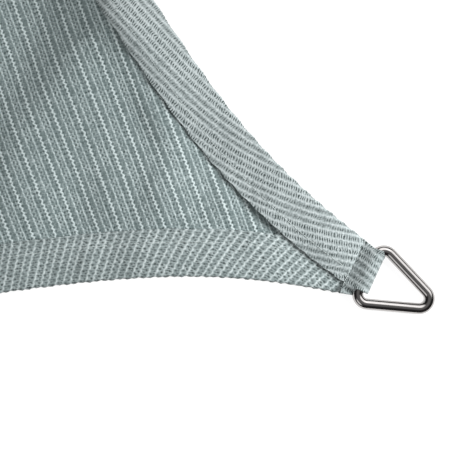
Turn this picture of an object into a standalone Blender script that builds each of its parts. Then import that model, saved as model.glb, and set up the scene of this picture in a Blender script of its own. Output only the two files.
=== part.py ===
"""Square shade sail of knitted cloth, with wide hems, inward-curved sides and a triangular ring at each tip.

The sail lies flat with its hems up. Metres, +Z up, origin under its centre on the surface that it lies on.
"""
import math
from collections import namedtuple

import bmesh
import bpy
from mathutils import Matrix, Vector

# Outline: a side runs between two loop ends, on lines that meet at right angles, and curves in from that line
SIDE = 2.0  # from one loop end to the next
TIP_HALF = 0.0147  # the edge starts this far outside the line, which gives the tip its width
BOW_SLOPE = 0.275  # slope at the ends of the long shallow curve
FLARE_SLOPE = 0.369  # slope that the flare into the tip adds to it
FLARE_REACH = 0.090  # distance along the side in which the flare dies away
TIP_START = 0.0197  # along the side, where the flat cloth begins behind the loop

# Cloth and hem
CLOTH = 0.0012
HEM_WIDTH = 0.0255
HEM_GAP = 0.0004  # between the hem and the layer under it
HEM_LIFT = 0.0022  # how far the free inner edge of the hem stands up
LIFT_START = 0.030
LIFT_FULL = 0.110
OVER_END = 0.056  # up to here a hem lies over its neighbour's hem
OVER_CLEAR = 0.130  # from here on it lies on the panel alone

# Grid of the panel: HEM_ROWS rows under each hem and PANEL_CELLS cells across the field between them
HEM_ROWS = 2  # the tips are laid out for two
PANEL_CELLS = 36
CELLS = PANEL_CELLS + 2 * HEM_ROWS

# Folds that stay in the laid cloth
FOLD_CUT = 0.0004  # lower than this the cloth lies flat
TIP_FLAT = 0.060  # within this distance of a loop end the cloth is flat
TIP_FREE = 0.130  # from here on the folds have their full height
Fold = namedtuple("Fold", "x y heading length width height")
FOLDS = (
    # the shown corner: short folds that run in from the hems
    Fold(0.905, -0.860, 262, 0.150, 0.016, 0.0022),
    Fold(0.880, -0.780, 245, 0.260, 0.028, 0.0042),
    Fold(0.800, -0.800, 258, 0.230, 0.030, 0.0036),
    Fold(0.700, -0.730, 280, 0.300, 0.040, 0.0055),
    Fold(0.640, -0.460, 220, 0.620, 0.060, 0.0080),
    # the other corners: longer folds along the pull of each tip
    Fold(-0.700, -0.760, 48, 0.520, 0.050, 0.0070),
    Fold(-0.810, -0.640, 62, 0.360, 0.040, 0.0050),
    Fold(-0.690, 0.720, 318, 0.640, 0.060, 0.0085),
    Fold(-0.800, 0.610, 290, 0.330, 0.042, 0.0052),
    Fold(0.720, 0.700, 228, 0.560, 0.055, 0.0075),
    Fold(0.610, 0.800, 205, 0.380, 0.045, 0.0050),
    # the field: broad, low swells
    Fold(-0.180, -0.560, 12, 0.760, 0.110, 0.0100),
    Fold(-0.620, -0.080, 98, 0.700, 0.100, 0.0090),
    Fold(0.520, 0.140, 76, 0.640, 0.105, 0.0095),
    Fold(0.020, 0.600, 172, 0.820, 0.115, 0.0105),
    Fold(0.170, -0.330, 140, 0.460, 0.085, 0.0060),
)

# Ring: bent round wire, one bar and two legs
WIRE = 0.006
RING_BAR = 0.0346  # between the sharp corners of the wire's centre line
RING_HEIGHT = 0.0446  # from the bar to the sharp far corner
BEND_RADIUS = 0.0054
BEND_STEP = math.radians(18)
RING_CLEAR = 0.0003
RING_SHIFT = 0.0007  # spare length in the loop, so that the bends clear its ends

# Loop: the cloth goes round the bar and back to the seam, seen in section along the diagonal
LOOP_HALF = 0.0110
LOOP_LIFT = 0.0001  # the loop's underside stays just clear of the panel's
LOOP_ARC_STEP = math.radians(15)
LOOP_NECK = 0.0080  # from the loop end to where the loop starts to widen into the tip
LOOP_TAIL = 0.0130  # from here on the layers are sewn together
LOOP_SEAM = 0.0180  # end of the sewn layers
SEAM_HALF = 0.0150
SEAM_TOP = 0.0040
CAVITY_FLOOR = 0.0019  # height of the lower layer where the two layers meet
CAVITY_TAIL = 0.0006  # height of the cavity there
UPPER_SLOPE = math.radians(45)  # at which the upper layer comes down behind the bar
WELD = 0.00001

HOLE_RADIUS = WIRE / 2 + RING_CLEAR
LOOP_RADIUS = HOLE_RADIUS + CLOTH
BAR_INSET = LOOP_RADIUS + RING_SHIFT
BAR_HEIGHT = LOOP_LIFT + LOOP_RADIUS

CORNERS = ("front_left", "front_right", "back_right", "back_left")
CLOTH_COLOUR = (0.36, 0.42, 0.42, 1.0)
STEEL_COLOUR = (0.62, 0.60, 0.59, 1.0)


def smooth_step(low, high, value):
    """0 below low, 1 above high, and a soft S between them."""
    t = min(max((value - low) / (high - low), 0.0), 1.0)
    return t * t * (3 - 2 * t)


def clear_scene():
    for old in list(bpy.data.objects):
        bpy.data.objects.remove(old, do_unlink=True)


def new_collection(name):
    collection = bpy.data.collections.new(name)
    bpy.context.scene.collection.children.link(collection)
    return collection


def principled(name, colour, roughness, metallic):
    material = bpy.data.materials.new(name)
    material.use_nodes = True
    shader = material.node_tree.nodes["Principled BSDF"]
    shader.inputs["Base Color"].default_value = colour
    shader.inputs["Roughness"].default_value = roughness
    shader.inputs["Metallic"].default_value = metallic
    return material


def edge_inset(x):
    """Distance of the outer edge inside the line between the loop ends."""
    bow = BOW_SLOPE * x * (SIDE - x) / SIDE
    near = math.erf(x / FLARE_REACH)
    far = math.erf((SIDE - x) / FLARE_REACH)
    flare = FLARE_SLOPE * FLARE_REACH * math.sqrt(math.pi) / 2 * (near + far - 1)
    return bow + flare - TIP_HALF


def edge_slope(x):
    near = math.exp(-((x / FLARE_REACH) ** 2))
    far = math.exp(-(((SIDE - x) / FLARE_REACH) ** 2))
    return BOW_SLOPE * (1 - 2 * x / SIDE) + FLARE_SLOPE * (near - far)


def turned(point, quarter):
    """A point of the front side, carried to the side that is quarter turns on."""
    return Matrix.Rotation(quarter * math.pi / 2, 2) @ point


def edge_point(side, x, inset):
    """The point at x along a side and inset metres in from its outer edge, square to the edge."""
    angle = math.atan(edge_slope(x))
    along = x - inset * math.sin(angle)
    inward = edge_inset(x) + inset * math.cos(angle)
    return turned(Vector((along - SIDE / 2, inward - SIDE / 2)), side)


def tip_point(side, inset):
    """The same across the end of the cloth at a side's start, where the cut is square to the diagonal."""
    start = Vector((TIP_START - SIDE / 2, edge_inset(TIP_START) - SIDE / 2))
    across = Vector((-1, 1)).normalized()
    return turned(start + across * inset, side)


def tip_end_point(side, inset):
    """The same at the side's end."""
    end = Vector((SIDE / 2 - TIP_START, edge_inset(TIP_START) - SIDE / 2))
    across = Vector((1, 1)).normalized()
    return turned(end + across * inset, side)


def mitre_start():
    """Where along a side the inner edge of its hem meets the diagonal, found by halving."""
    low, high = TIP_START, SIDE / 2
    for _ in range(50):
        middle = (low + high) / 2
        point = edge_point(0, middle, HEM_WIDTH)
        if point.y > point.x:
            low = middle
        else:
            high = middle
    return (low + high) / 2


def station_list():
    """Places along a side, from tip to tip, closer together towards the tips."""
    first = mitre_start()
    field = [(1 - math.cos(math.pi * n / PANEL_CELLS)) / 2 for n in range(PANEL_CELLS + 1)]
    inner = [first + (SIDE - 2 * first) * share for share in field]
    return [TIP_START, *inner, SIDE - TIP_START]


def fold_height(point):
    """How far the panel stands up: the sum of the folds, with the tips and all below FOLD_CUT left flat."""
    total = 0.0
    for fold in FOLDS:
        heading = math.radians(fold.heading)
        offset = point - Vector((fold.x, fold.y))
        along = (offset.x * math.cos(heading) + offset.y * math.sin(heading)) / fold.length
        across = (offset.y * math.cos(heading) - offset.x * math.sin(heading)) / fold.width
        if 0 < along < 1:
            total += fold.height * math.sin(math.pi * along) ** 2 * math.exp(-across * across)
    for corner in range(4):
        distance = (point - turned(Vector((-SIDE / 2, -SIDE / 2)), corner)).length
        total *= smooth_step(TIP_FLAT, TIP_FREE, distance)
    return max(0.0, total - FOLD_CUT)


def hem_height(x, share):
    """Top of the hem over the underside of the panel, share of the way from the fold to the free edge."""
    over = 1 - smooth_step(OVER_END, OVER_CLEAR, x)
    lift = smooth_step(LIFT_START, LIFT_FULL, x) * (1 - smooth_step(SIDE / 2, SIDE - LIFT_FULL, x))
    return 2 * CLOTH + HEM_GAP + over * (CLOTH + HEM_GAP) + lift * HEM_LIFT * share


def field_point(column, row, stations):
    """A point inside the hems: the four inner hem lines blended across the field."""
    span = SIDE - 2 * stations[1]
    u = (stations[column - 1] - stations[1]) / span
    v = (stations[row - 1] - stations[1]) / span
    front, right, back, left = (
        edge_point(0, stations[column - 1], HEM_WIDTH),
        edge_point(1, stations[row - 1], HEM_WIDTH),
        edge_point(2, SIDE - stations[column - 1], HEM_WIDTH),
        edge_point(3, SIDE - stations[row - 1], HEM_WIDTH),
    )
    corners = [edge_point(side, stations[1], HEM_WIDTH) for side in range(4)]
    ruled = (1 - v) * front + v * back + (1 - u) * left + u * right
    bilinear = ((1 - u) * (1 - v) * corners[0] + u * (1 - v) * corners[1]
                + u * v * corners[2] + (1 - u) * v * corners[3])
    return ruled - bilinear


def panel_point(column, row, stations):
    """Plan position of a grid point: a tip, a row under a hem, or the field."""
    views = ((column, row), (row, CELLS - column), (CELLS - column, CELLS - row), (CELLS - row, column))
    for side, (along, depth) in enumerate(views):
        if depth <= HEM_ROWS and HEM_ROWS <= along <= CELLS - HEM_ROWS:
            return edge_point(side, stations[along - 1], HEM_WIDTH * depth / HEM_ROWS)
        if along < HEM_ROWS and depth < HEM_ROWS:
            mitre = edge_point(side, stations[1], HEM_WIDTH)
            half_tip = edge_point(side, TIP_START, 0) - edge_point(side - 1, SIDE - TIP_START, 0)
            tip_middle = edge_point(side, TIP_START, 0) - half_tip / 2
            return {
                (0, 0): tip_middle,
                (1, 0): edge_point(side, TIP_START, 0),
                (0, 1): edge_point(side - 1, SIDE - TIP_START, 0),
                (1, 1): (tip_middle + mitre) / 2,
            }[along, depth]
    return field_point(column, row, stations)


def hem_point(side, number, inset, stations):
    if number == 0:
        return tip_point(side, inset)
    if number == len(stations) - 1:
        return tip_end_point(side, inset)
    return edge_point(side, stations[number], inset)


def fold_hem(mesh, side, edge_points, stations):
    """Carries a side's outer edge up the fold and back over the panel, a row at a time."""
    row = edge_points
    for share in (n / HEM_ROWS for n in range(HEM_ROWS + 1)):
        edges = [mesh.edges.get(pair) for pair in zip(row, row[1:])]
        made = bmesh.ops.extrude_edge_only(mesh, edges=edges)["geom"]
        fresh = [item for item in made if isinstance(item, bmesh.types.BMVert)]
        row = [min(fresh, key=lambda new: (new.co - old.co).length) for old in row]
        for number, point in enumerate(row):
            place = hem_point(side, number, HEM_WIDTH * share, stations)
            height = fold_height(place) + hem_height(stations[number], share)
            point.co = (place.x, place.y, height)


def cloth_skin():
    """Outer skin of the cloth: the panel's underside, and each hem folded up and back over it."""
    stations = station_list()
    mesh = bmesh.new()
    bmesh.ops.create_grid(mesh, x_segments=CELLS, y_segments=CELLS, size=CELLS / 2)
    bmesh.ops.reverse_faces(mesh, faces=mesh.faces)
    grid = {}
    for point in mesh.verts:
        grid[round(point.co.x + CELLS / 2), round(point.co.y + CELLS / 2)] = point
    for (column, row), point in grid.items():
        place = panel_point(column, row, stations)
        point.co = (place.x, place.y, fold_height(place))
    steps = range(1, CELLS)
    sides = (
        [grid[n, 0] for n in steps],
        [grid[CELLS, n] for n in steps],
        [grid[CELLS - n, CELLS] for n in steps],
        [grid[0, CELLS - n] for n in steps],
    )
    for side, edge_points in enumerate(sides):
        fold_hem(mesh, side, edge_points, stations)
    data = bpy.data.meshes.new("sail_cloth")
    mesh.to_mesh(data)
    mesh.free()
    return data


def arc(centre, radius, start, end, step):
    """Points round a centre from one angle to another, both ends included."""
    count = max(1, math.ceil(abs(end - start) / step))
    angles = [start + (end - start) * n / count for n in range(count + 1)]
    return [centre + radius * Vector((math.cos(a), math.sin(a))) for a in angles]


def loop_outlines():
    """Section of the loop, with the distance in from the loop end across and the height up."""
    bar = Vector((BAR_INSET, BAR_HEIGHT))
    front = Vector((LOOP_RADIUS, BAR_HEIGHT))
    down, up = math.pi * 3 / 2, math.pi / 2
    outer = arc(front, LOOP_RADIUS, down, up, LOOP_ARC_STEP)
    outer += arc(bar, LOOP_RADIUS, up, UPPER_SLOPE, LOOP_ARC_STEP)
    outer += [Vector(p) for p in ((LOOP_TAIL, SEAM_TOP), (LOOP_SEAM, SEAM_TOP), (LOOP_SEAM, LOOP_LIFT))]
    cavity = arc(front, HOLE_RADIUS, down, up, LOOP_ARC_STEP)
    cavity += arc(bar, HOLE_RADIUS, up, UPPER_SLOPE, LOOP_ARC_STEP)
    low = Vector((LOOP_TAIL - CLOTH, CAVITY_FLOOR))
    cavity += [low + Vector((0, CAVITY_TAIL)), low]
    return outer, cavity


def loop_cutter(corner, collection):
    """The loop as a solid, its section filled and carried along the bar, in place at its corner."""
    curve = bpy.data.curves.new("loop_section", "CURVE")
    curve.dimensions = "2D"
    curve.fill_mode = "BOTH"
    curve.extrude = LOOP_HALF
    for outline in loop_outlines():
        spline = curve.splines.new("POLY")
        spline.points.add(len(outline) - 1)
        for point, place in zip(spline.points, outline):
            point.co = (place.x, place.y, 0, 1)
        spline.use_cyclic_u = True
    flat = bpy.data.objects.new("loop_section", curve)
    collection.objects.link(flat)
    evaluated = flat.evaluated_get(bpy.context.evaluated_depsgraph_get())
    data = bpy.data.meshes.new_from_object(evaluated)
    bpy.data.objects.remove(flat, do_unlink=True)

    mesh = bmesh.new()
    mesh.from_mesh(data)
    bmesh.ops.remove_doubles(mesh, verts=mesh.verts, dist=WELD)
    widen = SEAM_HALF / LOOP_HALF - 1
    for point in mesh.verts:
        inward, height, across = point.co
        spread = 1 + widen * min(max((inward - LOOP_NECK) / (LOOP_TAIL - LOOP_NECK), 0.0), 1.0)
        point.co = (inward, across * spread, height)
    bmesh.ops.recalc_face_normals(mesh, faces=mesh.faces)
    mesh.to_mesh(data)
    mesh.free()

    loop = bpy.data.objects.new(f"loop_{CORNERS[corner]}", data)
    loop.location = turned(Vector((-SIDE / 2, -SIDE / 2)), corner).to_3d()
    loop.rotation_euler.z = math.pi / 4 + corner * math.pi / 2
    loop.hide_render = True
    loop.display_type = "WIRE"
    collection.objects.link(loop)
    return loop


def make_cloth(parts, cutters, material):
    data = cloth_skin()
    data.materials.append(material)
    cloth = bpy.data.objects.new("sail_cloth", data)
    parts.objects.link(cloth)
    thick = cloth.modifiers.new("thickness", "SOLIDIFY")
    thick.thickness = CLOTH
    thick.offset = -1
    thick.use_even_offset = True
    thick.use_quality_normals = True
    for corner, name in enumerate(CORNERS):
        join = cloth.modifiers.new(f"loop_{name}", "BOOLEAN")
        join.operation = "UNION"
        join.solver = "EXACT"
        join.object = loop_cutter(corner, cutters)
    return cloth


def rounded_polygon(corners, radius, step):
    """A closed outline whose sharp corners are replaced by arcs."""
    points = []
    for n, corner in enumerate(corners):
        before = (corners[n - 1] - corner).normalized()
        after = (corners[(n + 1) % len(corners)] - corner).normalized()
        half = before.angle(after) / 2
        centre = corner + (before + after).normalized() * radius / math.sin(half)
        first = corner + before * radius / math.tan(half) - centre
        turn = math.pi - 2 * half
        count = math.ceil(turn / step)
        points += [centre + Matrix.Rotation(turn * k / count, 2) @ first for k in range(count + 1)]
    return points


def make_rings(parts, material):
    """Four rings that share one curve, each with its bar in its loop and its far bend down on the surface."""
    corners = [Vector(p) for p in ((0, -RING_BAR / 2), (RING_HEIGHT, 0), (0, RING_BAR / 2))]
    outline = rounded_polygon(corners, BEND_RADIUS, BEND_STEP)
    curve = bpy.data.curves.new("ring", "CURVE")
    curve.dimensions = "3D"
    curve.fill_mode = "FULL"
    curve.bevel_depth = WIRE / 2
    curve.bevel_resolution = 4
    spline = curve.splines.new("POLY")
    spline.points.add(len(outline) - 1)
    for point, place in zip(spline.points, outline):
        point.co = (place.x, place.y, 0, 1)
    spline.use_cyclic_u = True
    spline.use_smooth = True
    curve.materials.append(material)
    reach = max(place.x for place in outline)
    tilt = math.asin((BAR_HEIGHT - WIRE / 2) / reach)
    for corner, name in enumerate(CORNERS):
        ring = bpy.data.objects.new(f"ring_{name}", curve)
        inward = turned(Vector((1, 1)).normalized(), corner)
        bar = turned(Vector((-SIDE / 2, -SIDE / 2)), corner) + BAR_INSET * inward
        ring.location = (bar.x, bar.y, BAR_HEIGHT)
        ring.rotation_euler = (0, tilt, math.pi * 5 / 4 + corner * math.pi / 2)
        parts.objects.link(ring)


def main():
    clear_scene()
    parts = new_collection("shade_sail")
    cutters = new_collection("cutters")
    make_cloth(parts, cutters, principled("knitted_cloth", CLOTH_COLOUR, 0.85, 0.0))
    make_rings(parts, principled("polished_steel", STEEL_COLOUR, 0.22, 1.0))


main()
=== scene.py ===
import math

import bpy
import numpy as np
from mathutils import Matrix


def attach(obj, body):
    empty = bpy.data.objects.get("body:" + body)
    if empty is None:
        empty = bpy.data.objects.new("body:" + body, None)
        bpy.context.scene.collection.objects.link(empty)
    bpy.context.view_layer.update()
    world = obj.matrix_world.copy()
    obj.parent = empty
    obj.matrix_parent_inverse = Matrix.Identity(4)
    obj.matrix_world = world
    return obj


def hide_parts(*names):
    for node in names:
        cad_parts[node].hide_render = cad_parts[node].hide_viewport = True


# Square shade sail of knitted cloth, laid flat with its hems up and seen at its front right tip.

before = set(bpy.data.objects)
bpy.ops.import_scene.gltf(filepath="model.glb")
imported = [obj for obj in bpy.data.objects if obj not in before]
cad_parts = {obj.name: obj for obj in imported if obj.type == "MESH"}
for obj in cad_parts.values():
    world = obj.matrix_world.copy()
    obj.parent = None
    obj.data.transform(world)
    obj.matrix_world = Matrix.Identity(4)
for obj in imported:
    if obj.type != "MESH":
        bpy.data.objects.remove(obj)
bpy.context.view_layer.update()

# Outline and plies, as in the CAD: a side runs between two loop ends and curves in from that line
sail = {
    "side": 2.0,
    "tipHalf": 0.0147,  # the edge starts this far outside the line
    "bowSlope": 0.275,  # slope at the ends of the long shallow curve
    "flareSlope": 0.369,  # slope that the flare into the tip adds to it
    "flareReach": 0.090,
    "tipStart": 0.0207,  # along the side, where the flat cloth begins behind the loop
    "tipTurn": 0.025,  # length in which the rows turn from the cut of the tip to square off the edge
    "cloth": 0.0012,  # thickness
    "tipFlat": 0.060,  # folds begin this far from a loop end
    "tipFree": 0.130,
    "foldCut": 0.0004,
}

# Folds that stay in the laid cloth: x, y, heading, length, width, height
folds = [
    (0.905, -0.860, 262, 0.150, 0.016, 0.0022),
    (0.880, -0.780, 245, 0.260, 0.028, 0.0042),
    (0.800, -0.800, 258, 0.230, 0.030, 0.0036),
    (0.700, -0.730, 280, 0.300, 0.040, 0.0055),
    (0.640, -0.460, 220, 0.620, 0.060, 0.0080),
    (-0.700, -0.760, 48, 0.520, 0.050, 0.0070),
    (-0.810, -0.640, 62, 0.360, 0.040, 0.0050),
    (-0.690, 0.720, 318, 0.640, 0.060, 0.0085),
    (-0.800, 0.610, 290, 0.330, 0.042, 0.0052),
    (0.720, 0.700, 228, 0.560, 0.055, 0.0075),
    (0.610, 0.800, 205, 0.380, 0.045, 0.0050),
    (-0.180, -0.560, 12, 0.760, 0.110, 0.0100),
    (-0.620, -0.080, 98, 0.700, 0.100, 0.0090),
    (0.520, 0.140, 76, 0.640, 0.105, 0.0095),
    (0.020, 0.600, 172, 0.820, 0.115, 0.0105),
    (0.170, -0.330, 140, 0.460, 0.085, 0.0060),
]

# Creases of the shown corner, in the same form, with the width on the left of their heading at the end
creases = [
    (0.9653, -0.7812, 216.7, 0.171, 0.0130, 0.0138, 0.0400),
    (0.8705, -0.8286, 239.2, 0.124, 0.0110, 0.0040, 0.0300),
    (0.9069, -0.7707, 286.6, 0.123, 0.0150, 0.0104, 0.0440),
    (0.9188, -0.8511, 274.6, 0.058, 0.0066, 0.0044, 0.0260),
    (0.9295, -0.8892, 234.0, 0.062, 0.0080, 0.0050, 0.0200),
    (0.8959, -0.8880, 236.0, 0.055, 0.0066, 0.0026, 0.0120),
    (0.8649, -0.8860, 224.9, 0.041, 0.0060, 0.0014, 0.0070),
    (0.9465, -0.9165, 243.5, 0.036, 0.0046, 0.0019, 0.0050),
    (0.8537, -0.9493, 61.1, 0.029, 0.0080, 0.0014, 0.0060),
    (0.8760, -0.9565, 60.7, 0.031, 0.0080, 0.0010, 0.0060),
    (0.9020, -0.9656, 58.6, 0.031, 0.0080, 0.0010, 0.0050),
    (0.9709, -0.9511, 296.0, 0.059, 0.0085, 0.0018, 0.0240),
]

diagonal = 1 / math.sqrt(2)
sideNames = ["front", "right", "back", "left"]
cornerNames = ["FrontLeft", "FrontRight", "BackRight", "BackLeft"]
errorFunction = np.vectorize(math.erf)


def smoothStep(low, high, value):
    # 0 below low, 1 above high, and 3t² − 2t³ between them
    t = np.clip((value - low) / (high - low), 0.0, 1.0)
    return t * t * (3 - 2 * t)


def turned(points, quarter):
    # Points of the plan carried on by quarter right angles about the centre
    cosine, sine = ((1, 0), (0, 1), (-1, 0), (0, -1))[quarter % 4]
    x, y = points[..., 0], points[..., 1]
    return np.stack([cosine * x - sine * y, sine * x + cosine * y], -1)


def tipFrame(quarter):
    # A loop end, the direction inward from it, and the direction of the bar there
    end = turned(np.array([-0.5, -0.5]) * sail["side"], quarter)
    into = turned(np.array([diagonal, diagonal]), quarter)
    along = turned(np.array([-diagonal, diagonal]), quarter)
    return end, into, along


def waves(table, along, quarter, share=0.0):
    # Sum of sines. A row is a strength, a rate and three parts of the phase: by share, by quarter and fixed
    return sum(strength * np.sin(along * rate + lean * share + step * quarter + phase)
               for strength, rate, lean, step, phase in table)


def edgeInset(x):
    # Distance of the outer edge inside the line between the loop ends: a parabola plus two error functions
    side, reach = sail["side"], sail["flareReach"]
    bow = sail["bowSlope"] * x * (side - x) / side
    ends = errorFunction(x / reach) + errorFunction((side - x) / reach) - 1
    return bow + sail["flareSlope"] * reach * math.sqrt(math.pi) / 2 * ends - sail["tipHalf"]


def edgeSlope(x):
    # The derivative of edgeInset
    side, reach = sail["side"], sail["flareReach"]
    near, far = np.exp(-(x / reach) ** 2), np.exp(-((side - x) / reach) ** 2)
    return sail["bowSlope"] * (1 - 2 * x / side) + sail["flareSlope"] * (near - far)


tipTilt = math.pi / 4 - math.atan(float(edgeSlope(np.array(sail["tipStart"]))))
tipWidth = (sail["tipStart"] - float(edgeInset(np.array(sail["tipStart"])))) * diagonal  # half of the cut


def edgePoint(quarter, x, inset):
    # The point at x along a side and inset metres in from its outer edge, square to the edge. Towards a tip
    # the row turns until it is square to the diagonal, and its outer, unfolded part mirrors that turn.
    # The result has x and y in its last axis.
    side, start, reach = sail["side"], sail["tipStart"], sail["tipTurn"]
    turn = tipTilt * (smoothStep(start, start + reach, side - x) - smoothStep(start, start + reach, x))
    angle = np.arctan(edgeSlope(x)) + turn * np.sign(inset)
    along = x - inset * np.sin(angle)
    inward = edgeInset(x) + inset * np.cos(angle)
    return turned(np.stack([along - side / 2, inward - side / 2], -1), quarter)


def ridges(plan, table):
    # Sum of ridges: height · sin²(π · share of the length) · exp(−(distance across / width)²).
    # A seventh value is the width on the left of the heading
    total = np.zeros(plan.shape[:-1])
    for x, y, heading, length, width, height, *other in table:
        cosine, sine = math.cos(math.radians(heading)), math.sin(math.radians(heading))
        east, north = plan[..., 0] - x, plan[..., 1] - y
        along = np.clip((east * cosine + north * sine) / length, 0, 1)
        across = north * cosine - east * sine
        across = across / np.where(across > 0, other[0] if other else width, width)
        total += height * np.sin(math.pi * along) ** 2 * np.exp(-across ** 2)
    return total


def tipDistance(plan):
    # Distance to the nearest loop end
    return np.min([np.linalg.norm(plan - tipFrame(quarter)[0], axis=-1) for quarter in range(4)], axis=0)


def foldHeight(plan):
    # How far the panel stands up: the folds, fading out at the tips and cut off low down, and the creases
    total = ridges(plan, folds) * smoothStep(sail["tipFlat"], sail["tipFree"], tipDistance(plan))
    return np.maximum(0.0, total - sail["foldCut"]) + ridges(plan, creases)


def stationsBetween(start, end, cellAt, samples=6001):
    # Places from start to end, spaced by cellAt: the running count of cells, read off at whole numbers
    fine = np.linspace(start, end, samples)
    middle = (fine[1:] + fine[:-1]) / 2
    count = np.concatenate([[0], np.cumsum(np.diff(fine) / cellAt(middle))])
    whole = max(1, round(count[-1]))
    return np.interp(np.arange(whole + 1) * count[-1] / whole, count, fine)


def gridPiece(name, points, flat, finishes, closed=False):
    # A mesh whose faces join neighbours on a grid of points, closed both ways for a ring.
    # flat, the same grid on the cut cloth, is its UV map
    rows, columns = points.shape[:2]
    number = np.arange(rows * columns).reshape(rows, columns)
    if closed:
        number = np.pad(number, (0, 1), mode="wrap")
    quads = np.stack([number[:-1, :-1], number[1:, :-1], number[1:, 1:], number[:-1, 1:]], -1).reshape(-1, 4)
    return meshPiece(name, points.reshape(-1, 3), quads, flat.reshape(-1, 2), finishes)


def meshPiece(name, points, quads, flat, finishes):
    data = bpy.data.meshes.new(name)
    data.vertices.add(len(points))
    data.vertices.foreach_set("co", points.astype(np.float32).ravel())
    data.loops.add(quads.size)
    data.loops.foreach_set("vertex_index", quads.astype(np.int32).ravel())
    data.polygons.add(len(quads))
    data.polygons.foreach_set("loop_start", np.arange(0, quads.size, 4, dtype=np.int32))
    data.polygons.foreach_set("use_smooth", np.ones(len(quads), bool))
    data.update(calc_edges=True)
    layer = data.uv_layers.new(name="cloth")
    layer.data.foreach_set("uv", flat[quads.ravel()].astype(np.float32).ravel())
    for finish in finishes:
        data.materials.append(finish)
    piece = bpy.data.objects.new(name, data)
    bpy.context.scene.collection.objects.link(piece)
    return piece


def thicken(piece, thickness):
    # The skin keeps its place, the wall grows inwards, and the inner side takes the second finish
    wall = piece.modifiers.new("thickness", "SOLIDIFY")
    wall.thickness = thickness
    wall.offset = -1
    wall.use_even_offset = True
    wall.material_offset = 1


# Shader maths

class Wire:
    # A socket, so that shader maths reads as plain maths
    def __init__(self, graph, socket):
        self.graph, self.socket = graph, socket

    def maths(self, operation, *values):
        return self.graph.node("ShaderNodeMath", {"operation": operation}, dict(enumerate(values)))

    def __add__(self, other):
        return self.maths("ADD", self, other)

    def __sub__(self, other):
        return self.maths("SUBTRACT", self, other)

    def __rsub__(self, other):
        return self.maths("SUBTRACT", other, self)

    def __mul__(self, other):
        return self.maths("MULTIPLY", self, other)

    def __truediv__(self, other):
        return self.maths("DIVIDE", self, other)

    __radd__ = __add__

    def of(self, operation, *others):
        return self.maths(operation, self, *others)


class Graph:
    # A material's nodes. node() adds one: its settings are set first, then its sockets get values or links
    def __init__(self, tree):
        self.tree = tree
        tree.nodes.clear()

    def node(self, kind, settings=None, inputs=None, output=0):
        made = self.tree.nodes.new(kind)
        for name, value in (settings or {}).items():
            setattr(made, name, value)
        for name, value in (inputs or {}).items():
            if isinstance(value, Wire):
                self.tree.links.new(value.socket, made.inputs[name])
            else:
                made.inputs[name].default_value = value
        return Wire(self, made.outputs[output]) if made.outputs else None

    def clothPlace(self):
        return self.node("ShaderNodeUVMap", {"uv_map": "cloth"})

    def noise(self, place, scale, detail, output=0, dimensions="3D"):
        inputs = {"Vector": place, "Scale": scale, "Detail": detail}
        return self.node("ShaderNodeTexNoise", {"noise_dimensions": dimensions}, inputs, output)

    def planParts(self, vector):
        # The x and the y of a vector
        return [self.node("ShaderNodeSeparateXYZ", None, {"Vector": vector}, axis) for axis in (0, 1)]

    def bump(self, strength, distance, height):
        inputs = {"Strength": strength, "Distance": distance, "Height": height}
        return self.node("ShaderNodeBump", None, inputs)

    def mixed(self, share, first, second, blend="MIX"):
        # Colours blended by a share
        settings = {"data_type": "RGBA", "blend_type": blend, "clamp_factor": True}
        return self.node("ShaderNodeMix", settings, {0: share, 6: first, 7: second}, 2)

    def finish(self, inputs):
        shader = self.node("ShaderNodeBsdfPrincipled", None, inputs)
        self.node("ShaderNodeOutputMaterial", None, {"Surface": shader})


def newMaterial(name):
    material = bpy.data.materials.new(name)
    material.use_nodes = True
    return material, Graph(material.node_tree)


# The knit, in repeats of three ribs across and one stitch along: the ribs stand out, tapes lie between them.
# Ribs: place, half width, swing, phase of the swing, strength, beads.
# Openings: place, half width, phase, half height, depth.
knit = {
    "repeat": 0.01120,
    "stitch": 0.00238,
    "start": 0.745,  # place of the first rib, in repeats
    "wander": (0.044, 0.5),  # how far the knit strays, in repeats across and in stitches along
    "wanderScale": 28.0,  # this and the other scales are cells of noise in a metre
    "jitterScale": 340.0,
    "grainScale": 880.0,
    "cloudScale": 9.0,
    "cloudShare": 0.10,
    "ribTone": 0.03,  # from rib to rib
    "ribShade": 0.015,
    "streakSize": (9.0, 0.9, 0.8),  # cells in a repeat, lean in a stitch, cells in a stitch
    "rungLean": 1.5,
    "openBase": 0.65,  # least share of an opening's depth
    "openSpread": 0.60,
    "openingShadeSpread": 0.8,  # how far a tone under the tape's darkens towards the painted shade of the openings
    "heights": (0.8, 0.25, 0.4),  # of ribs, grain and rungs, with openings 1 deep
    "bumpStrength": 0.7,
    "roughSpread": 0.2,
    "sheen": (0.08, 0.5),
}
# Colours of each side: the rib colour is partly the ribs' own lighter tone and partly painted light on their
# tops; the shaded-opening near-black is painted shade in the holes
faceSide = {
    "rib": (0.490, 0.562, 0.565, 1),
    "tape": (0.156, 0.199, 0.200, 1),
    "shadedOpening": (0.035, 0.052, 0.051, 1),
    "ribs": [(0.000, 0.047, 0.034, 0.00, 1.06, 0.0), (0.333, 0.037, 0.014, 0.00, 0.66, 0.35),
             (0.505, 0.075, 0.000, 0.00, 0.30, 0.0), (0.662, 0.038, 0.008, 0.20, 0.64, 0.2),
             (0.870, 0.060, 0.000, 0.00, 0.14, 0.6)],
    "openings": [(0.094, 0.044, 0.25, 0.20, 0.85), (0.905, 0.046, 0.75, 0.20, 0.95),
                 (0.780, 0.062, 0.75, 0.22, 0.85), (0.447, 0.048, 0.75, 0.21, 0.95),
                 (0.568, 0.042, 0.25, 0.20, 0.85), (0.205, 0.080, 0.00, 1.00, 0.22)],
    "bars": 0.10,
    "streaks": 1.0,
    "grain": 1.1,
    "uneven": 0.30,  # from stitch to stitch
    "jitter": (0.060, 0.75),  # the same for its place, across and along
    "relief": 0.00024,
    "roughness": 0.62,
    "gloss": 0.35,
    "lightness": 0.88,
}
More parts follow.
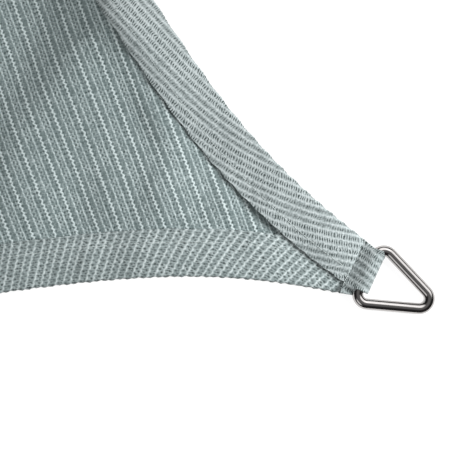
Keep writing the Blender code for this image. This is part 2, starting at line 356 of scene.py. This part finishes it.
backSide = {
    "rib": (0.482, 0.540, 0.542, 1),
    "tape": (0.218, 0.262, 0.263, 1),
    "shadedOpening": (0.030, 0.043, 0.042, 1),
    "ribs": [(0.000, 0.044, 0.022, 0.25, 0.78, 0.3), (0.355, 0.042, 0.020, 0.60, 0.80, 0.25),
             (0.690, 0.042, 0.022, 0.00, 0.74, 0.3)],
    "openings": [(0.225, 0.075, 0.00, 0.18, 1.00), (0.115, 0.060, 0.06, 0.12, 0.80),
                 (0.130, 0.060, 0.56, 0.15, 0.80), (0.470, 0.062, 0.53, 0.18, 1.00),
                 (0.585, 0.060, 0.44, 0.12, 0.80), (0.590, 0.055, 0.96, 0.16, 0.85),
                 (0.785, 0.060, 0.27, 0.18, 0.90), (0.905, 0.058, 0.69, 0.17, 0.90)],
    "bars": 0.16,
    "streaks": 0.6,
    "grain": 1.1,
    "uneven": 0.40,
    "jitter": (0.055, 0.70),
    "relief": 0.00017,
    "roughness": 0.5,
    "gloss": 0.6,
    "lightness": 0.88,
}

# The knit of the right and left hems is pulled along its ribs, and looser. That of the loops is the same,
# but wrapped tightly round the bar it shows its ribs less
looseSide = {**backSide, "rib": (0.417, 0.460, 0.464, 1), "tape": (0.266, 0.304, 0.306, 1),
             "ribs": [(0.000, 0.052, 0.022, 0.25, 0.58, 0.4), (0.355, 0.050, 0.020, 0.60, 0.60, 0.35),
                      (0.690, 0.050, 0.022, 0.00, 0.55, 0.4)],
             "openings": [(0.178, 0.100, 0.12, 0.12, 1.15), (0.178, 0.100, 0.62, 0.12, 0.95),
                          (0.522, 0.100, 0.36, 0.12, 1.15), (0.522, 0.100, 0.86, 0.12, 0.95),
                          (0.845, 0.092, 0.12, 0.12, 0.95), (0.845, 0.092, 0.62, 0.12, 1.15)],
             "bars": 0.30, "streaks": 1.2, "grain": 1.5, "uneven": 0.50, "jitter": (0.085, 0.75)}
loopSide = {**looseSide, "rib": (0.375, 0.416, 0.419, 1), "tape": (0.240, 0.277, 0.279, 1),
            "streaks": 1.7, "uneven": 0.75, "lightness": 0.84}


def bell(graph, phase, width):
    # A periodic bump: exp((cos(2π · phase) − 1) / (2 π² width²)), 1 at whole phases
    steepness = 1 / (2 * math.pi ** 2 * width ** 2)
    return ((phase * (2 * math.pi)).of("COSINE") - 1).of("MULTIPLY", steepness).of("EXPONENT")


def knitMaterial(name, side):
    material, graph = newMaterial(name)
    place = graph.clothPlace()
    slow = graph.noise(place, knit["wanderScale"], 1.0) - 0.5
    uneven = graph.planParts(graph.noise(place, knit["jitterScale"], 1.0, 1))
    across, along = graph.planParts(place)
    across = across / knit["repeat"] + slow * knit["wander"][0] - knit["start"]
    across = across + (uneven[0] - 0.5) * side["jitter"][0]
    along = along / knit["stitch"] + slow * knit["wander"][1]
    along = along + (uneven[1] - 0.5) * side["jitter"][1]

    ribs = None
    for centre, width, swing, phase, strength, beads in side["ribs"]:
        swings = ((along + phase) * (2 * math.pi)).of("SINE")
        rib = bell(graph, across - centre + swings * swing, width) * ((1 - swings * beads) * strength)
        ribs = rib if ribs is None else ribs.of("MAXIMUM", rib)
    openings = None
    for centre, width, phase, height, depth in side["openings"]:
        hole = bell(graph, across - centre, width) * bell(graph, along - phase, height) * depth
        openings = hole if openings is None else openings.of("MAXIMUM", hole)

    rung = ((along * 2 + across * knit["rungLean"]) * (2 * math.pi)).of("COSINE") * side["bars"]
    ribNumber = (across * 3).of("FLOOR")
    stitchNumber = along.of("FLOOR")
    cell = graph.node("ShaderNodeCombineXYZ", None, {0: ribNumber, 1: stitchNumber})
    perStitch = graph.node("ShaderNodeTexWhiteNoise", {"noise_dimensions": "2D"}, {"Vector": cell})
    perRib = graph.node("ShaderNodeTexWhiteNoise", {"noise_dimensions": "1D"}, {"W": ribNumber}) - 0.5
    fine = graph.noise(place, knit["grainScale"], 2.0) - 0.5
    broad = graph.noise(place, knit["cloudScale"], 3.0) - 0.5
    wide, lean, high = knit["streakSize"]
    leaned = graph.node("ShaderNodeCombineXYZ", None, {0: across * wide - along * lean, 1: along * high})
    streak = graph.noise(leaned, 1.0, 1.0, dimensions="2D") - 0.5

    openings = openings * (knit["openBase"] + perStitch * knit["openSpread"])
    tone = (ribs + (rung + streak * side["streaks"]) * (1 - ribs) + (perStitch - 0.5) * side["uneven"]
            + perRib * knit["ribTone"] + fine * side["grain"])
    colour = graph.mixed(tone, side["tape"], side["rib"])
    # Painted shade: the openings, and tones under the tape's, are mixed towards the near-black colour that
    # stands for the shade in the holes
    dark = (openings - tone.of("MINIMUM", 0.0) * knit["openingShadeSpread"]).of("MINIMUM", 1.0)
    colour = graph.mixed(dark, colour, side["shadedOpening"])
    shade = (broad * knit["cloudShare"] + perRib * knit["ribShade"] + 1) * side["lightness"]
    grey = graph.node("ShaderNodeCombineColor", None, {0: shade, 1: shade, 2: shade})
    colour = graph.mixed(1.0, colour, grey, "MULTIPLY")

    ribHeight, grainHeight, rungHeight = knit["heights"]
    height = ribs * ribHeight - openings + fine * grainHeight + rung * rungHeight
    graph.finish({
        "Base Color": colour,
        "Roughness": side["roughness"] + (fine + openings) * knit["roughSpread"],
        "Normal": graph.bump(knit["bumpStrength"], side["relief"], height),
        "Specular IOR Level": side["gloss"],
        "Sheen Weight": knit["sheen"][0],
        "Sheen Roughness": knit["sheen"][1],
    })
    return material


steel = {
    "colour": (0.520, 0.500, 0.492, 1),
    "worn": (0.430, 0.412, 0.405, 1),
    "wornScale": 260.0,
    "roughness": 0.13,
    "scratches": 0.10,
    "smears": 0.12,
    "drawn": (300.0, 5200.0, 1.0),  # lines in a metre, along the wire and round it
    "relief": 0.00002,
    "bumpStrength": 0.25,
}


def steelMaterial():
    material, graph = newMaterial("polishedSteel")
    place = graph.clothPlace()
    drawn = graph.node("ShaderNodeMapping", None, {"Vector": place, "Scale": steel["drawn"]})
    lines = graph.noise(drawn, 1.0, 3.0)
    cloudy = graph.noise(place, steel["wornScale"], 3.0)
    uneven = (lines - 0.5) * steel["scratches"] + (cloudy - 0.5) * steel["smears"]
    graph.finish({
        "Base Color": graph.mixed(cloudy, steel["colour"], steel["worn"]),
        "Metallic": 1.0,
        "Roughness": steel["roughness"] + uneven,
        "Normal": graph.bump(steel["bumpStrength"], steel["relief"], lines),
    })
    return material


thread = {
    "colour": (0.43, 0.475, 0.47, 1),
    "dark": (0.35, 0.395, 0.39, 1),
    "roughness": 0.5,
    "twist": 2600.0,  # strands in a metre of thread
    "lay": 900.0,
    "relief": 0.0001,
    "bumpStrength": 0.5,
}


def threadMaterial():
    material, graph = newMaterial("sewingThread")
    along, across = graph.planParts(graph.clothPlace())
    strands = ((along * thread["twist"] + across * thread["lay"]) * (2 * math.pi)).of("SINE") * 0.5 + 0.5
    graph.finish({
        "Base Color": graph.mixed(strands, thread["dark"], thread["colour"]),
        "Roughness": thread["roughness"],
        "Normal": graph.bump(thread["bumpStrength"], thread["relief"], strands),
    })
    return material


backKnit = knitMaterial("knitBackSide", backSide)
faceKnit = knitMaterial("knitFaceSide", faceSide)
looseKnit = knitMaterial("knitLoose", looseSide)
loopKnit = knitMaterial("knitLoops", loopSide)
steelFinish = steelMaterial()
threadFinish = threadMaterial()
print("materials done")


# Panel: the field between the hems and what lies under them

panel = {
    "cell": 0.0026,  # at the shown corner
    "growth": 0.028,  # of the cell with the distance from there
    "coarse": 0.014,
    "farCell": 0.005,  # at the other tips
    "farGrowth": 0.06,
}


def panelCell(distance):
    near = panel["cell"] + panel["growth"] * distance
    far = panel["farCell"] + panel["farGrowth"] * (sail["side"] - distance)
    return np.minimum(np.minimum(near, far), panel["coarse"])


def panelSkin():
    # The underside: the four lines tipWidth inside the edges, blended across the field.
    # Point = ruled one way + ruled the other way − the bilinear blend of the four corners
    side, start = sail["side"], sail["tipStart"]
    x = stationsBetween(start, side - start, lambda place: panelCell(side - place))
    y = stationsBetween(start, side - start, panelCell)
    u = ((x - x[0]) / (x[-1] - x[0]))[:, None, None]
    v = ((y - y[0]) / (y[-1] - y[0]))[None, :, None]
    front = edgePoint(0, x, tipWidth)[:, None]
    back = edgePoint(2, side - x, tipWidth)[:, None]
    right = edgePoint(1, y, tipWidth)[None]
    left = edgePoint(3, side - y, tipWidth)[None]
    ruled = (1 - v) * front + v * back + (1 - u) * left + u * right
    corners = ((1 - u) * (1 - v) * front[:1] + u * (1 - v) * front[-1:]
               + (1 - u) * v * back[:1] + u * v * back[-1:])
    plan = ruled - corners
    return np.concatenate([plan, foldHeight(plan)[..., None]], -1), plan


points, flat = panelSkin()
# the rows run backwards, so that the faces of the skin look down and the wall grows up from it
panelPiece = gridPiece("sailPanel", points[::-1], flat[::-1], [backKnit, faceKnit])
thicken(panelPiece, sail["cloth"])
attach(panelPiece, "root")
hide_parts("sail_cloth")
print("panel done:", points.shape)


# Hems: the edge of the cloth goes round and back over the panel, with its under side showing

hem = {
    "width": 0.0255,
    "gap": 0.0004,
    "lift": -0.00025,  # of the free edge, added to the gap
    "crown": 0.0003,
    "crownSpan": (0.02, 0.05),  # it grows to its full height between these distances from a tip
    "liftStart": 0.030,
    "liftFull": 0.110,
    "overEnd": 0.056,  # up to here it lies over the next hem
    "overClear": 0.105,
    "fineCell": 0.0012,  # at the shown corner
    "fineReach": 0.26,
    "fineGrowth": 0.02,
    "coarseCell": 0.007,
    "tipCell": 0.0025,
    "tipGrowth": 0.03,
    "belowSteps": 5,  # columns of its section: below, round the fold, and on the top
    "turnSteps": 8,
    "topSteps": 10,
    "topReach": 0.9,  # share of the top that those steps cover
    "lastShares": [0.94, 0.97, 0.99, 1.0],
    "scallop": 0.00028,  # of the free edge, one to a rib
    "scallopStitch": 0.35,  # share of it that changes with the stitches
    "scallopFade": 8,  # power of the distance across the top with which it grows
    "knuckle": 0.00028,  # of the outer edge
    "knuckleStitch": 0.6,
    "pucker": 0.00020,
    "puckers": [(1.0, 262, 3, 1, 0), (0.7, 417, -4, 0, 2), (0.5, 149, 0, 0, 0)],
    "puckerSpan": (0.03, 0.07),
    "wave": 0.30,  # share of the lift by which the free edge rises and falls
    "waves": [(1.0, 71, 0, 1, 0), (0.6, 163, 0, 2, 1)],
    "seamRise": 0.0004,  # more plies lie in the seam of the loop
    "seamReach": 0.008,
    "stitchInset": 0.0185,
    "stitchPress": 0.00006,
    "pressWidth": 0.0012,
}
# How the knit lies in each hem: stretch across the ribs and along them, and their lean
hemKnit = [(1.01, 1.17, 0.12), (0.94, 1.09, 0.07), (1.00, 1.12, 0.10), (0.97, 1.10, 0.08)]


def tipAlong(x):
    # Distance along the side to the nearer tip
    return np.minimum(x, sail["side"] - x)


def hemCell(quarter):
    # Finest at the shown corner, which is the far end of the front side and the near end of the right one
    def cellAt(x):
        shown = {0: sail["side"] - x, 1: x}.get(quarter)
        cell = np.minimum(hem["coarseCell"], hem["tipCell"] + hem["tipGrowth"] * tipAlong(x))
        if shown is None:
            return cell
        return np.minimum(cell, hem["fineCell"] + hem["fineGrowth"] * np.maximum(0, shown - hem["fineReach"]))
    return cellAt


def hemOver(x):
    # 1 where the hem lies over the next one
    return 1 - smoothStep(hem["overEnd"], hem["overClear"], x)


def foldRadius(x):
    # Half of the height of the outer skin: two plies and the gap, and one more of each over the next hem
    return (2 * sail["cloth"] + hem["gap"] + hemOver(x) * (sail["cloth"] + hem["gap"])) / 2


def hemLift(x):
    # Share of the lift, which fades out at both ends
    side = sail["side"]
    near = smoothStep(hem["liftStart"], hem["liftFull"], x)
    return near * (1 - smoothStep(side / 2, side - hem["liftFull"], x))


def hemRise(quarter, x, inset):
    # Height of the hem's top over the underside of the panel: the plies under it, the lift of the free edge
    # with a slow wave in it, a crown, small puckers across it, a dip along the row of stitches, and a rise
    # towards the seam of the loop
    share = inset / hem["width"]
    arch = np.sin(math.pi * np.clip(share, 0, 1))
    lift = hem["lift"] * hemLift(x) * (1 + hem["wave"] * waves(hem["waves"], x, quarter)) * share ** 1.5
    crown = hem["crown"] * arch * smoothStep(*hem["crownSpan"], tipAlong(x))
    pucker = hem["pucker"] * waves(hem["puckers"], x, quarter, share)
    pucker = pucker * arch ** 0.5 * smoothStep(*hem["puckerSpan"], tipAlong(x))
    pressed = hem["stitchPress"] * np.exp(-((inset - hem["stitchInset"]) / hem["pressWidth"]) ** 2)
    fromSeam = smoothStep(sail["tipStart"], sail["tipStart"] + hem["seamReach"], tipAlong(x))
    return 2 * foldRadius(x) + lift + crown + pucker - pressed + hem["seamRise"] * (1 - fromSeam)


def hemCloth(quarter, x, inset):
    # Where a point of the unfolded hem lies on its knit: leaned, then the stretch taken out
    flat = edgePoint(quarter, x, inset)
    acrossStretch, alongStretch, lean = hemKnit[quarter]
    return np.stack([(flat[..., 0] + lean * flat[..., 1]) / acrossStretch, flat[..., 1] / alongStretch], -1)


def hemSkin(quarter):
    # Section of a hem, carried along its side: in from the panel under it, round the edge in a half circle,
    # and back over the top. Rows run along the side, columns round the section
    side, start = sail["side"], sail["tipStart"]
    x = stationsBetween(start, side - start, hemCell(quarter))[:, None]
    radius = foldRadius(x)
    below = np.linspace(0, 1, hem["belowSteps"], endpoint=False)[None]
    turn = np.linspace(0, math.pi, hem["turnSteps"] + 1)[None]
    above = np.linspace(0, hem["topReach"], hem["topSteps"] + 1)[1:]
    above = np.concatenate([above, hem["lastShares"]])[None]

    flatEdge = hem["width"] + (math.pi - 2) * radius  # free edge on the cut cloth
    ribPhase = hemCloth(quarter, x, -flatEdge) / [knit["repeat"] / 3, knit["stitch"] * 3]
    ripple = np.cos(2 * math.pi * ribPhase) @ [1, hem["scallopStitch"]]
    edgePhase = hemCloth(quarter, x, 0 * x) / [knit["repeat"] / 3, knit["stitch"]]
    knuckle = np.cos(2 * math.pi * edgePhase) @ [1, hem["knuckleStitch"]]

    topInset = radius + (hem["width"] - radius) * above
    inset = np.concatenate([tipWidth + (radius - tipWidth) * below, radius * (1 - np.sin(turn)), topInset], 1)
    unfolded = np.concatenate([tipWidth + (radius - tipWidth) * below, radius * (1 - turn),
                               -(radius * (math.pi - 2) + topInset)], 1)
    flat = hemCloth(quarter, x, unfolded)
    moved = inset.copy()
    moved[:, -above.size:] += hem["scallop"] * ripple * above ** hem["scallopFade"]
    moved[:, below.size:below.size + turn.size] -= hem["knuckle"] * knuckle * np.sin(turn) ** 2
    plan = edgePoint(quarter, x, moved)
    top = hemRise(quarter, x, topInset)
    atFold = hemRise(quarter, x, radius)
    rise = np.concatenate([np.zeros_like(x + below), atFold * (1 - np.cos(turn)) / 2, top], 1)
    height = foldHeight(edgePoint(quarter, x, inset)) + rise
    return np.concatenate([plan, height[..., None]], -1), flat


def hemTop(quarter, x, inset):
    # Points on the top of a hem
    plan = edgePoint(quarter, x, inset)
    return np.concatenate([plan, (foldHeight(plan) + hemRise(quarter, x, inset))[..., None]], -1)


for quarter, sideName in enumerate(sideNames):
    points, flat = hemSkin(quarter)
    knitFinish = [backKnit, looseKnit][quarter % 2]
    piece = gridPiece(f"hem{sideName.capitalize()}", points, flat, [knitFinish, faceKnit])
    thicken(piece, sail["cloth"])
    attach(piece, "root")
    print("hem done:", sideName, points.shape)


# Loops: at each tip the cloth goes round the bar of the ring and is sewn down behind it

loop = {
    # half width by distance in from the loop end, on the two sides: it widens into the tip
    "firstSide": [(0.0, 0.0112), (0.0043, 0.0141), (0.0090, 0.0137), (0.0136, 0.0158)],
    "secondSide": [(0.0, 0.0100), (0.0045, 0.0098), (0.0078, 0.0100), (0.0085, 0.0137), (0.0136, 0.0158)],
    "flap": (0.0100, 0.0132),  # where its lower side drops beside the wire
    "straight": 0.0094,  # half of the bar's straight length
    "lean": 0.20,  # of its ribs off the square to the bar
    "tail": 0.0136,  # the seam behind the bar
    "seamTop": 0.0053,
    "ragged": 0.0005,  # how unevenly its cut edge runs along the seam
    "ragWaves": [(0.6, 2100, 0, 1, 0), (0.4, 890, 0, 2, 0)],
    "ragStart": 0.0105,
    "hole": 0.0033,  # its radius round the bar
    "overlap": 0.0002,  # of the underside past the seam
    "lift": 0.0001,
    "shift": 0.0007,
    "slope": 27.0,  # at which the upper ply comes down behind the bar
    "slopeBow": 0.02,
    "overhang": 0.0042,  # most that the cloth follows the ring's bends
    "bendEnd": 0.007,
    "flapSpan": (0.0076, 0.0084),  # distance in from the loop end, in which the drop sets in
    "bulge": 0.00012,
    "bulges": 19,
    "steps": (7, 24, 6, 10),  # of the profile: underside, front, over the bar, slope
    "columns": 44,
}
ring = {
    "wire": 0.006,
    "bar": 0.0350,  # between the sharp corners of the centre line
    "height": 0.0464,
    "turn": -1.4,  # of the ring in its loop
    "bend": 0.0054,
    "bendSteps": 18,
    "legSteps": 10,
    "sides": 40,
}
ringNodes = ["ring_front_left", "ring_front_right", "ring_back_right", "ring_back_left"]
loopRadius = loop["hole"] + sail["cloth"]
barInset = loopRadius + loop["shift"]
barHeight = loop["lift"] + loopRadius


def loopProfile():
    # From the seam along the underside, round the front of the bar, over its top and down the slope to the
    # seam again: distance in from the loop end, and height
    slope = math.radians(loop["slope"])
    belowSteps, frontSteps, overSteps, slopeSteps = loop["steps"]
    below = np.linspace(loop["tail"] + loop["overlap"], loopRadius, belowSteps + 1)
    front = np.linspace(-math.pi / 2, -3 * math.pi / 2, frontSteps + 1)[1:]
    over = np.linspace(math.pi / 2, math.pi / 2 - slope, overSteps + 1)[1:]
    inward = [below, loopRadius + loopRadius * np.cos(front), barInset + loopRadius * np.cos(over)]
    height = [np.full(below.size, loop["lift"]), barHeight + loopRadius * np.sin(front),
              barHeight + loopRadius * np.sin(over)]
    t = np.linspace(0, 1, slopeSteps + 1)[1:]
    first, last = np.array([inward[2][-1], height[2][-1]]), np.array([loop["tail"], loop["seamTop"]])
    inward.append(first[0] + (last[0] - first[0]) * t)
    height.append(first[1] + (last[1] - first[1]) * (t + loop["slopeBow"] * np.sin(math.pi * t)))
    return np.concatenate(inward), np.concatenate(height)


def loopSkin(quarter):
    # The profile carried along the bar, wider towards the seam, with soft bulges along it
    inward, height = (line[:, None] for line in loopProfile())
    share = np.linspace(-1, 1, loop["columns"] + 1)[None]
    first, second = (np.interp(inward, *zip(*loop[side])) for side in ("firstSide", "secondSide"))
    across = share * np.where(share > 0, second, first)
    # past the straight part of the bar the cloth follows its bends: shift = r − √(r² − overhang²)
    overhang = np.clip(np.abs(across) - loop["straight"], 0, loop["overhang"])
    bend = ring["bend"] - np.sqrt(ring["bend"] ** 2 - overhang ** 2)
    bend = bend * (1 - smoothStep(loop["bendEnd"], loop["tail"], inward))
    # the cut edge of the upper ply runs unevenly
    ragged = loop["ragged"] * (1 + waves(loop["ragWaves"], across, quarter))
    ragged = ragged * smoothStep(loop["ragStart"], loop["tail"], inward) * (height > barHeight / 2)
    end, into, along = tipFrame(quarter)
    plan = end + (inward - bend + ragged)[..., None] * into + across[..., None] * along

    bulge = np.sin(share * loop["bulges"] + 1) * np.sin(np.clip(inward / loop["tail"], 0, 1) * math.pi)
    rise = np.maximum(height + loop["bulge"] * bulge * (height > barHeight), loop["lift"])
    drop = smoothStep(*loop["flap"], across) * smoothStep(*loop["flapSpan"], inward)
    rise = np.where(rise > loop["seamTop"], rise + (loop["seamTop"] - rise) * drop, rise)

    step = np.hypot(np.diff(inward[:, 0]), np.diff(height[:, 0]))
    length = np.concatenate([[0], np.cumsum(step)])
    developed = loop["tail"] - (length[-1] - length)[:, None]
    flat = np.stack(np.broadcast_arrays(across + loop["lean"] * developed, developed), -1)
    points = np.concatenate([plan, np.broadcast_to(rise, plan.shape[:2])[..., None]], -1)
    return points, flat


for quarter, cornerName in enumerate(cornerNames):
    points, flat = loopSkin(quarter)
    piece = gridPiece(f"loop{cornerName}", points, flat, [loopKnit, faceKnit])
    thicken(piece, sail["cloth"])
    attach(piece, "root")
print("loops done")


# Rings: round steel wire bent to a triangle, its bar in the loop and its far bend down on the surface

def ringPath():
    # Centre line: three straight legs joined by arcs. At each sharp corner the arc's centre lies on the
    # bisector, bend / sin(half angle) away
    corners = np.array([[0, -ring["bar"] / 2], [ring["height"], 0], [0, ring["bar"] / 2]])
    arcs = []
    for number, corner in enumerate(corners):
        before = corners[number - 1] - corner
        after = corners[(number + 1) % 3] - corner
        before, after = before / np.linalg.norm(before), after / np.linalg.norm(after)
        half = math.acos(float(before @ after)) / 2
        bisector = (before + after) / np.linalg.norm(before + after)
        centre = corner + bisector * ring["bend"] / math.sin(half)
        start = corner + before * ring["bend"] / math.tan(half) - centre
        turn = np.linspace(0, math.pi - 2 * half, ring["bendSteps"] + 1)[:, None]
        arcs.append(centre + start * np.cos(turn) + np.array([-start[1], start[0]]) * np.sin(turn))
    path = []
    for number, arc in enumerate(arcs):
        share = np.linspace(0, 1, ring["legSteps"] + 1)[1:-1, None]
        path += [arc, arc[-1] + (arcs[(number + 1) % 3][0] - arc[-1]) * share]
    return np.concatenate(path)


def ringSkin(quarter):
    # A circle carried along the centre line: point = line + wire / 2 · (cos · outward + sin · up),
    # then tilted until the far bend touches the surface, turned to its corner and put at the bar
    path = ringPath()
    tangent = np.roll(path, -1, 0) - np.roll(path, 1, 0)
    tangent /= np.linalg.norm(tangent, axis=1)[:, None]
    outward = np.stack([tangent[:, 1], -tangent[:, 0], np.zeros(len(path))], -1)[:, None]
    centre = np.concatenate([path, np.zeros((len(path), 1))], 1)[:, None]
    angle = np.linspace(0, 2 * math.pi, ring["sides"], endpoint=False)[None, :, None]
    points = centre + ring["wire"] / 2 * (np.cos(angle) * outward + np.sin(angle) * np.array([0, 0, 1]))
    tilt = math.asin((barHeight - ring["wire"] / 2) / path[:, 0].max())
    x = points[..., 0] * math.cos(tilt) + points[..., 2] * math.sin(tilt)
    z = points[..., 2] * math.cos(tilt) - points[..., 0] * math.sin(tilt)
    yaw = math.pi * 5 / 4 + quarter * math.pi / 2 + math.radians(ring["turn"])
    end, into, _ = tipFrame(quarter)
    bar = end + barInset * into
    plan = np.stack([x * math.cos(yaw) - points[..., 1] * math.sin(yaw) + bar[0],
                     x * math.sin(yaw) + points[..., 1] * math.cos(yaw) + bar[1]], -1)
    length = np.concatenate([[0], np.cumsum(np.linalg.norm(np.diff(path, axis=0), axis=1))])[:, None]
    flat = np.stack(np.broadcast_arrays(length, angle[..., 0] * ring["wire"] / 2), -1)
    return np.concatenate([plan, (z + barHeight)[..., None]], -1), flat


for quarter, (cornerName, node) in enumerate(zip(cornerNames, ringNodes)):
    points, flat = ringSkin(quarter)
    piece = gridPiece(f"ring{cornerName}", points, flat, [steelFinish], closed=True)
    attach(piece, "root")
    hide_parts(node)
print("rings done")


# Stitches: short arcs of thread along the hems and in the seams of the loops

stitch = {
    "pitch": 0.0032,
    "length": 0.0027,
    "radius": 0.00015,
    "sunk": 0.9,  # how deep the ends lie under the cloth, in radii
    "sides": 6,
    "segments": 5,
    "hemEnds": (0.004, 0.012),  # left free at the start and the end of a hem
    "seamSpan": (-0.0135, 0.0110),  # along the bar
    "seamInset": 0.0004,
    "seamRise": 0.0003,
}


def threadArcs(name, starts, ends):
    # Each stitch is a tube on an arch from start to end: its middle stands a little over the cloth and its
    # ends go into it. Height of the arch = radius · (2 sin(π t) − sunk)
    t = np.linspace(0, 1, stitch["segments"])[None, :, None]
    chord = ends - starts
    length = np.linalg.norm(chord, axis=1)[:, None]
    tangent = chord / length
    across = np.stack([-tangent[:, 1], tangent[:, 0], np.zeros(len(chord))], -1)
    across /= np.linalg.norm(across, axis=1)[:, None]
    up = np.cross(tangent, across)
    rise = stitch["radius"] * (2 * np.sin(math.pi * t) - stitch["sunk"])
    centre = starts[:, None] + chord[:, None] * t + up[:, None] * rise
    angle = np.linspace(0, 2 * math.pi, stitch["sides"], endpoint=False)
    outward = np.cos(angle)[None, :, None] * across[:, None] + np.sin(angle)[None, :, None] * up[:, None]
    points = centre[:, :, None] + stitch["radius"] * outward[:, None]
    count, rows, sides = points.shape[:3]
    number = np.arange(count * rows * sides).reshape(count, rows, sides)
    number = np.pad(number, ((0, 0), (0, 0), (0, 1)), mode="wrap")
    quads = np.stack([number[:, :-1, :-1], number[:, :-1, 1:], number[:, 1:, 1:], number[:, 1:, :-1]], -1)
    flat = np.stack(np.broadcast_arrays(t * length[:, None], angle[None, None] * stitch["radius"]), -1)
    return meshPiece(name, points.reshape(-1, 3), quads.reshape(-1, 4), flat.reshape(-1, 2), [threadFinish])


threadPieces = []
firstBegin = sail["tipStart"] + stitch["hemEnds"][0]
lastBegin = sail["side"] - sail["tipStart"] - stitch["hemEnds"][1]
for quarter, sideName in enumerate(sideNames):
    begins = np.arange(firstBegin, lastBegin, stitch["pitch"])
    starts = hemTop(quarter, begins, hem["stitchInset"])
    ends = hemTop(quarter, begins + stitch["length"], hem["stitchInset"])
    threadPieces.append(threadArcs(f"hemStitches{sideName.capitalize()}", starts, ends))
for quarter, cornerName in enumerate(cornerNames):
    end, into, along = tipFrame(quarter)
    seam = end + into * (loop["tail"] + stitch["seamInset"])
    places = np.arange(*stitch["seamSpan"], stitch["pitch"])[:, None]
    level = np.full((len(places), 1), loop["seamTop"] + stitch["seamRise"])
    starts = np.concatenate([seam + places * along, level], 1)
    ends = np.concatenate([seam + (places + stitch["length"]) * along, level], 1)
    threadPieces.append(threadArcs(f"loopStitches{cornerName}", starts, ends))
for piece in threadPieces:
    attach(piece, "root")
print("stitches done")


# Cloth size: cut area of the panel from its outline
span = np.linspace(sail["tipStart"], sail["side"] - sail["tipStart"], 2001)
inside = (edgeInset(span) + tipWidth / np.cos(np.arctan(edgeSlope(span)))).mean() * (span[-1] - span[0])
panelArea = float(sail["side"] ** 2 - 4 * inside)


# Floor, light and camera

stage = {
    "floor": (0.12, 0.12, 0.12, 1),
    "floorDark": (0.11, 0.11, 0.11, 1),
    "speckleScale": 3.0,
    "roughness": 0.9,
    "gloss": 0.1,
    "glow": 0.94,
    "size": 24.0,
    "dim": 0.03,  # the studio away from its soft lights
    # soft lights: bearing, elevation, half angle of the full light and of its edge, brightness
    "lights": [(12, 43, 10, 28, 2.2), (62, 46, 11, 31, 2.4), (210, 37, 5, 20, 1.35), (0, 90, 8, 40, 0.22)],
}
view = {
    "centre": (0.93483, -0.94617),
    "turn": -20.5,
    "width": 0.239,
    "lens": 135.0,
    "sensor": 36.0,
    "level": 0.003,  # height at which the width is measured
}
# Lamps, which the ring does not reflect: the place that each is aimed at, the bearing and reach from there,
# and its height, size and power
lamps = {
    "keyLight": ((0.935, -0.946), -16.0, 0.37, 0.24, 0.20, 3.7),
    "fillLight": ((0.935, -0.946), 142.0, 1.30, 0.90, 0.80, 6.8),
    "overLight": ((-0.35, 0.35), 135.0, 0.20, 1.50, 2.8, 17.0),
}
sun = {"bearing": 34.0, "elevation": 38.0, "softness": 16.0, "strength": 0.24, "reach": 3.0}


def floorMaterial():
    material, graph = newMaterial("paleFloor")
    place = graph.node("ShaderNodeTexCoord", None, None, "Object")
    colour = graph.mixed(graph.noise(place, stage["speckleScale"], 2.0), stage["floor"], stage["floorDark"])
    graph.finish({"Base Color": colour, "Roughness": stage["roughness"], "Specular IOR Level": stage["gloss"],
                  "Emission Color": (1, 1, 1, 1), "Emission Strength": stage["glow"]})
    return material


def skyDirection(bearing, elevation):
    bearing, elevation = math.radians(bearing), math.radians(elevation)
    return np.array([math.cos(bearing) * math.cos(elevation), math.sin(bearing) * math.cos(elevation),
                     math.sin(elevation)])


def aimed(thing, place, target):
    # Puts an object at a place with its −Z axis towards the target
    direction = np.array(target) - np.array(place)
    direction = direction / np.linalg.norm(direction)
    thing.location = place
    thing.rotation_euler = (math.acos(-direction[2]), 0, math.atan2(direction[1], direction[0]) - math.pi / 2)
    bpy.context.scene.collection.objects.link(thing)


half = stage["size"] / 2
corner = np.array([[-half, -half, 0], [half, -half, 0], [half, half, 0], [-half, half, 0]])
floor = meshPiece("floor", corner, np.array([[0, 1, 2, 3]]), corner[:, :2], [floorMaterial()])

world = bpy.data.worlds.new("studio")
bpy.context.scene.world = world
world.use_nodes = True
sky = Graph(world.node_tree)
direction = sky.node("ShaderNodeTexCoord", None, None, "Generated")
brightness = stage["dim"]
for bearing, elevation, inner, outer, strength in stage["lights"]:
    sides = {0: direction, 1: skyDirection(bearing, elevation)}
    facing = sky.node("ShaderNodeVectorMath", {"operation": "DOT_PRODUCT"}, sides, "Value")
    facing = sky.node("ShaderNodeMapRange", {"interpolation_type": "SMOOTHSTEP"},
                      {"Value": facing, "From Min": math.cos(math.radians(outer)),
                       "From Max": math.cos(math.radians(inner))})
    brightness = facing * strength + brightness
backdrop = sky.node("ShaderNodeBackground", None, {"Strength": brightness})
sky.node("ShaderNodeOutputWorld", None, {"Surface": backdrop})

centre = view["centre"]
for name, (place, bearing, reach, height, size, power) in lamps.items():
    lamp = bpy.data.lights.new(name, "AREA")
    lamp.shape = "DISK"
    lamp.size = size
    lamp.energy = power
    light = bpy.data.objects.new(name, lamp)
    light.visible_camera = False
    light.visible_glossy = False
    target = np.array([*place, 0])
    aimed(light, target + reach * skyDirection(bearing, 0) + (0, 0, height), target)

lamp = bpy.data.lights.new("sun", "SUN")
lamp.angle = math.radians(sun["softness"])
lamp.energy = sun["strength"]
light = bpy.data.objects.new("sun", lamp)
light.visible_glossy = False
aimed(light, sun["reach"] * skyDirection(sun["bearing"], sun["elevation"]), (0, 0, 0))

lens = bpy.data.cameras.new("camera")
lens.lens = view["lens"]
lens.sensor_width = view["sensor"]
camera = bpy.data.objects.new("camera", lens)
camera.location = (centre[0], centre[1], view["level"] + view["width"] * view["lens"] / view["sensor"])
camera.rotation_euler = (0, 0, math.radians(view["turn"]))
bpy.context.scene.collection.objects.link(camera)
bpy.context.scene.camera = camera
bpy.context.scene.view_settings.view_transform = "Standard"
print("stage done")
